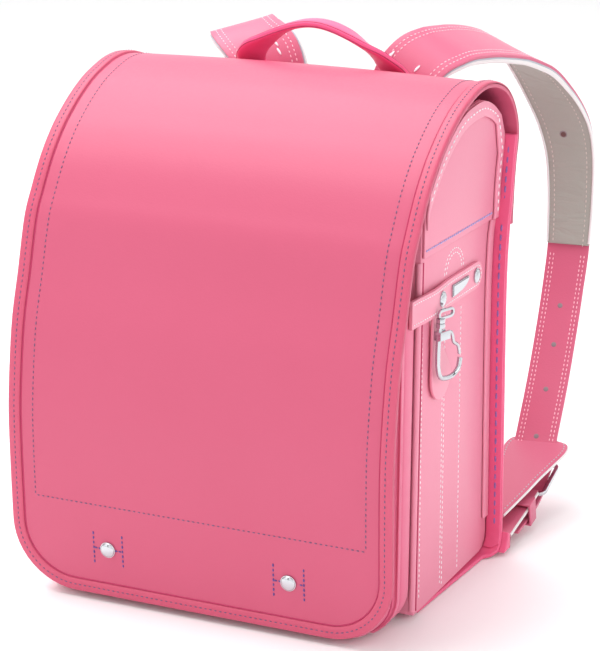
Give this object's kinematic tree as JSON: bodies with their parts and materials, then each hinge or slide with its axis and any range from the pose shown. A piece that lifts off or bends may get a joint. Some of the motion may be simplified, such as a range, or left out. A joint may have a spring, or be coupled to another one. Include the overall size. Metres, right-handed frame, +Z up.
{
  "type": "school ransel",
  "caption": "Stiff box-shaped school backpack with a long front flap, front pocket, side belts, a side hook, carrying handle and lined shoulder straps.",
  "frame": {"origin": "flat underside of the back plate's toe, in the bag's middle plane, on the surface that the bag stands on", "axes": "+X to the right of somebody who looks at the flap, +Y from the flap to the back and the shoulder straps, +Z up"},
  "size_m": [0.2966, 0.404, 0.3689],
  "materials": {
    "flap_leather": "satin",
    "rim_leather": "satin",
    "side_leather": "satin",
    "pocket_leather": "satin",
    "back_leather": "satin",
    "trim_leather": "satin",
    "belt_leather": "satin",
    "strap_leather": "satin",
    "strap_lining": "matt",
    "metal": "polished",
    "clasp_metal": "satin",
    "bracket_plastic": "matt"
  },
  "bodies": {
    "bag": {"flap": "flap_leather", "flap_rim": "rim_leather", "main_box": "side_leather", "upper_panel_right": "side_leather", "upper_panel_left": "side_leather", "front_pocket": "pocket_leather", "back_plate": "back_leather", "back_cushion": "back_leather", "side_flange_right": "back_leather", "side_flange_left": "back_leather", "arch_trim_right": "trim_leather", "arch_trim_left": "trim_leather", "edge_strip_right": "trim_leather", "edge_strip_left": "trim_leather", "side_belt_right": "belt_leather", "side_belt_left": "belt_leather", "hook_tab": "belt_leather", "handle": "strap_leather", "strap_right": "strap_leather", "strap_left": "strap_leather", "lower_strap_right": "strap_leather", "lower_strap_left": "strap_leather", "strap_guard_right": "strap_leather", "strap_guard_left": "strap_leather", "strap_keeper_right": "strap_leather", "strap_keeper_left": "strap_leather", "strap_anchor_right": "strap_leather", "strap_anchor_left": "strap_leather", "strap_lining_right": "strap_lining", "strap_lining_left": "strap_lining", "flap_rivet_right": "metal", "flap_rivet_left": "metal", "belt_stud_front_right": "metal", "belt_stud_front_left": "metal", "belt_stud_back_right": "metal", "belt_stud_back_left": "metal", "belt_insert_right": "metal", "belt_insert_left": "metal", "hook_ring": "metal", "buckle_right": "metal", "buckle_left": "metal", "flap_clasp": "clasp_metal", "strap_bracket": "bracket_plastic"},
    "hook_body": {"hook_body": "metal"},
    "hook_gate": {"hook_gate": "metal"}
  },
  "joints": [
    {"name": "hook_swivel", "type": "hinge", "parent": "bag", "child": "hook_body", "pos_m": [0.134, -0.02, 0.198], "axis": [0, 0, 1], "range_deg": [-5, 19]},
    {"name": "hook_gate", "type": "hinge", "parent": "hook_body", "child": "hook_gate", "pos_m": [0.1354, -0.01541, 0.18964], "axis": [-0.9563, 0.2924, 0], "range_deg": [0, 25], "stiffness_Nm_per_rad": 0.005, "springref_deg": -20.05}
  ]
}
